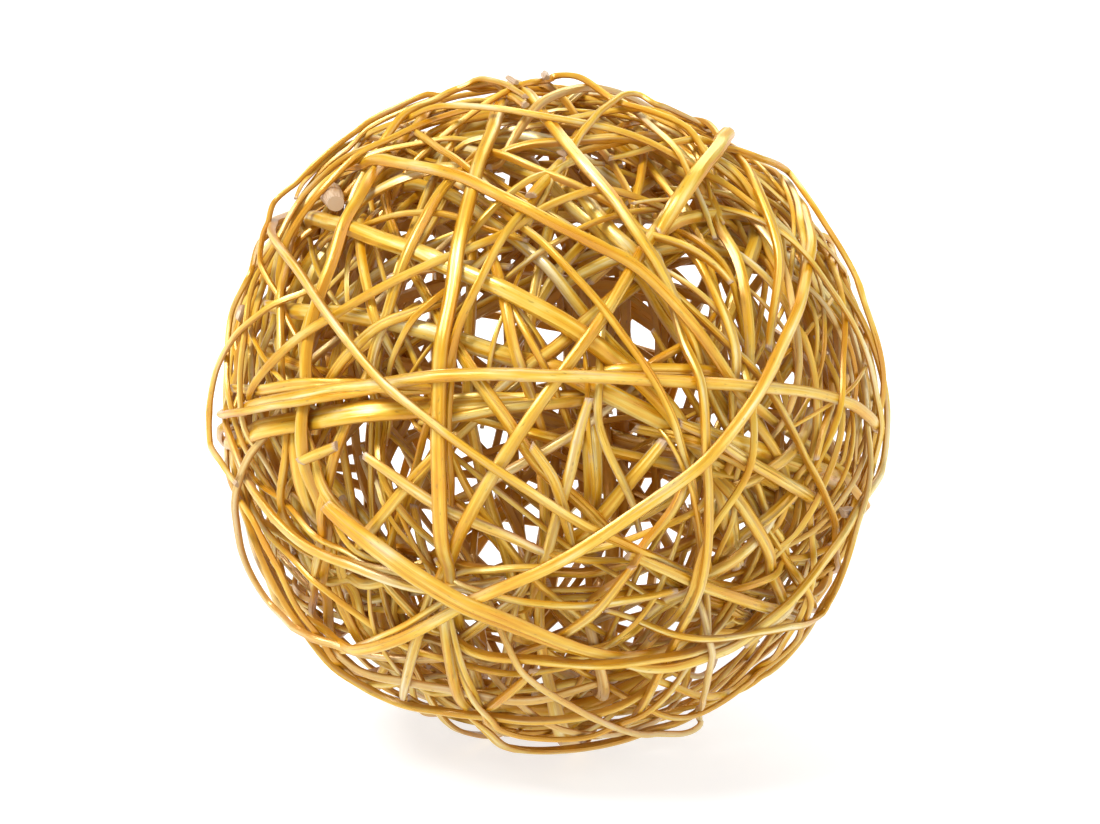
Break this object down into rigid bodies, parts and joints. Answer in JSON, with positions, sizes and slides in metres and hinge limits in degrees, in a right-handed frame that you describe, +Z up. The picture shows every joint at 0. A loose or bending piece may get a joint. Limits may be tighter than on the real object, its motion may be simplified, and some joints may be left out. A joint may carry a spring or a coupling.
{
  "type": "decorative sphere",
  "caption": "Hollow see-through ball of split willow strips and round rods wound in every direction and painted gold, resting on two level strips.",
  "frame": {"origin": "on the surface the ball stands on, under its centre", "axes": "+Z up, -Y towards the viewer, so the front is the side with the nearly level strip across the middle; +X to the viewer's right"},
  "size_m": [0.1964, 0.196, 0.1982],
  "materials": {
    "gold_broad": "satin gold paint on broad split willow",
    "gold_strip": "satin gold paint on split willow",
    "gold_slim": "satin gold paint on narrow split willow",
    "gold_thin": "satin gold paint on thin split willow",
    "gold_rod": "satin gold paint on round willow rod",
    "gold_foot": "satin gold paint on broad split willow"
  },
  "bodies": {
    "root": {"broad_01": "gold_broad", "broad_02": "gold_broad", "broad_03": "gold_broad", "foot_left": "gold_foot", "foot_right": "gold_foot", "rod_01": "gold_rod", "rod_02": "gold_rod", "rod_03": "gold_rod", "rod_04": "gold_rod", "rod_05": "gold_rod", "rod_06": "gold_rod", "rod_07": "gold_rod", "rod_08": "gold_rod", "rod_09": "gold_rod", "rod_10": "gold_rod", "rod_11": "gold_rod", "rod_12": "gold_rod", "rod_13": "gold_rod", "slim_01": "gold_slim", "slim_02": "gold_slim", "slim_03": "gold_slim", "slim_04": "gold_slim", "slim_05": "gold_slim", "slim_06": "gold_slim", "slim_07": "gold_slim", "slim_08": "gold_slim", "slim_09": "gold_slim", "slim_10": "gold_slim", "slim_11": "gold_slim", "slim_12": "gold_slim", "slim_13": "gold_slim", "strip_01": "gold_strip", "strip_02": "gold_strip", "strip_03": "gold_strip", "strip_04": "gold_strip", "strip_05": "gold_strip", "strip_06": "gold_strip", "strip_07": "gold_strip", "strip_08": "gold_strip", "thin_01": "gold_thin", "thin_02": "gold_thin", "thin_03": "gold_thin", "thin_04": "gold_thin", "thin_05": "gold_thin", "thin_06": "gold_thin", "thin_07": "gold_thin", "thin_08": "gold_thin", "thin_09": "gold_thin", "thin_10": "gold_thin", "thin_11": "gold_thin", "thin_12": "gold_thin", "thin_13": "gold_thin", "thin_14": "gold_thin"}
  },
  "joints": []
}
